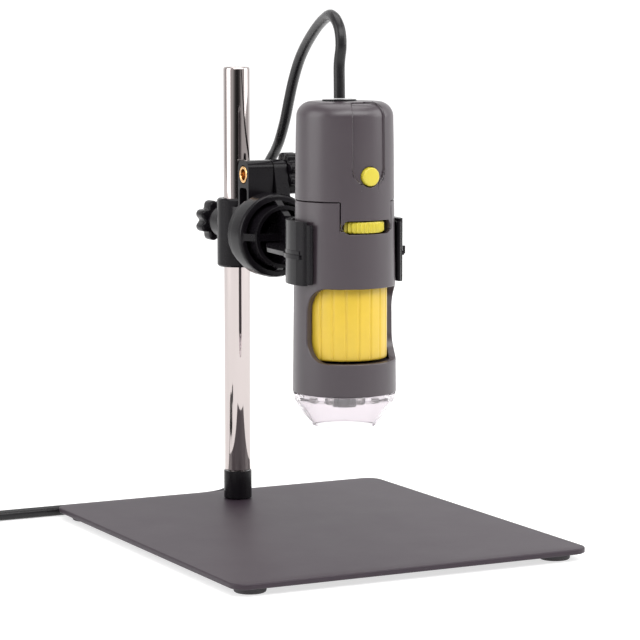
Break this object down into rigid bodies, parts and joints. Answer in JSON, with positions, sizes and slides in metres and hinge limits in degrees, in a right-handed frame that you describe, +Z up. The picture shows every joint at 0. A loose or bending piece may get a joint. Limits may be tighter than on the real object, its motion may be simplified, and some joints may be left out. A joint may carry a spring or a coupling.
{
  "type": "usb digital microscope",
  "caption": "Hand-sized digital microscope with a focus ring and clear shield, held by a tilting clip arm on a post stand.",
  "frame": {"origin": "on the table, under the middle of the space taken up without the cord", "axes": "+Z up the post, -Y to the front, where the instrument hangs, +X to the right seen from the front"},
  "size_m": [0.2261, 0.1498, 0.1729],
  "materials": {
    "powder_coat": "fine matt powder coat with a slight sheen",
    "chrome": "polished",
    "black_plastic": "satin moulded",
    "rubber": "matt",
    "brass": "turned",
    "steel": "turned",
    "grey_plastic": "satin moulded",
    "yellow_plastic": "satin moulded",
    "clear_plastic": "clear, polished",
    "lens_glass": "polished",
    "circuit_board": "white solder mask",
    "led_epoxy": "clear moulded",
    "cable_jacket": "satin jacket",
    "white_plastic": "moulded"
  },
  "bodies": {
    "stand": {"base_plate": "powder_coat", "foot_front_left": "rubber", "foot_front_right": "rubber", "foot_back_left": "rubber", "foot_back_right": "rubber", "post": "chrome", "post_collar": "black_plastic", "post_screw": "steel", "cord_lower": "cable_jacket", "cord_coil": "cable_jacket", "usb_plug": "black_plastic", "usb_shell": "steel", "usb_tongue": "white_plastic"},
    "clamp": {"post_clamp": "black_plastic", "brass_insert": "brass"},
    "clamp_knob": {"clamp_knob": "black_plastic", "clamp_screw": "steel"},
    "tilt_bracket": {"tilt_bracket": "black_plastic", "roll_screw": "steel"},
    "tilt_knob": {"tilt_knob": "black_plastic", "tilt_screw": "steel"},
    "holder": {"holder_clip": "black_plastic"},
    "microscope": {"lower_housing": "grey_plastic", "upper_housing": "grey_plastic", "cable_gland": "black_plastic", "wheel_axle": "steel", "led_board": "circuit_board", "led_1": "led_epoxy", "led_2": "led_epoxy", "led_3": "led_epoxy", "led_4": "led_epoxy", "led_5": "led_epoxy", "led_6": "led_epoxy", "clear_shield": "clear_plastic", "cord_upper": "cable_jacket"},
    "snapshot_button": {"snapshot_button": "yellow_plastic"},
    "brightness_wheel": {"brightness_wheel": "yellow_plastic"},
    "focus_ring": {"focus_ring": "yellow_plastic"},
    "lens_barrel": {"lens_barrel": "black_plastic", "objective_lens": "lens_glass"}
  },
  "joints": [
    {"name": "clamp_height", "type": "slide", "parent": "stand", "child": "clamp", "axis": [0, 0, 1], "range_m": [-0.036, 0.04], "deforming": ["cord_lower"]},
    {"name": "clamp_knob_turn", "type": "hinge", "parent": "clamp", "child": "clamp_knob", "pos_m": [0, 0.05525, 0.0996], "axis": [0, 1, 0], "range_deg": [-270, 90]},
    {"name": "tilt", "type": "hinge", "parent": "clamp", "child": "tilt_bracket", "pos_m": [0, 0.04075, 0.1173], "axis": [-1, 0, 0], "range_deg": [0, 60], "deforming": ["cord_upper"]},
    {"name": "tilt_knob_turn", "type": "hinge", "parent": "tilt_bracket", "child": "tilt_knob", "pos_m": [0.0103, 0.04075, 0.1173], "axis": [1, 0, 0], "range_deg": [-270, 90]},
    {"name": "roll", "type": "hinge", "parent": "tilt_bracket", "child": "holder", "pos_m": [0, 0.03185, 0.0978], "axis": [0, 1, 0], "range_deg": [-90, 90], "deforming": ["cord_upper"]},
    {"name": "turn_in_clip", "type": "hinge", "parent": "holder", "child": "microscope", "pos_m": [0, -0.02435, 0.097], "axis": [0, 0, 1], "range_deg": [-45, 45], "deforming": ["cord_upper"]},
    {"name": "button_press", "type": "slide", "parent": "microscope", "child": "snapshot_button", "axis": [-0.0698, 0.9976, 0], "range_m": [0, 0.001], "stiffness_N_per_m": 600, "springref_m": -0.0005},
    {"name": "brightness_turn", "type": "hinge", "parent": "microscope", "child": "brightness_wheel", "pos_m": [0.00057, -0.03253, 0.1053], "axis": [0, 0, 1], "range_deg": [-135, 135]},
    {"name": "focus_turn", "type": "hinge", "parent": "microscope", "child": "focus_ring", "pos_m": [0, -0.02435, 0.0755], "axis": [0, 0, 1], "range_deg": [-150, 150]},
    {"name": "focus_travel", "type": "slide", "parent": "microscope", "child": "lens_barrel", "axis": [0, 0, 1], "range_m": [-0.0025, 0.0025]}
  ],
  "couplings": [
    {"joint": "focus_travel", "follows": "focus_turn", "m_per_rad": -0.0009}
  ]
}
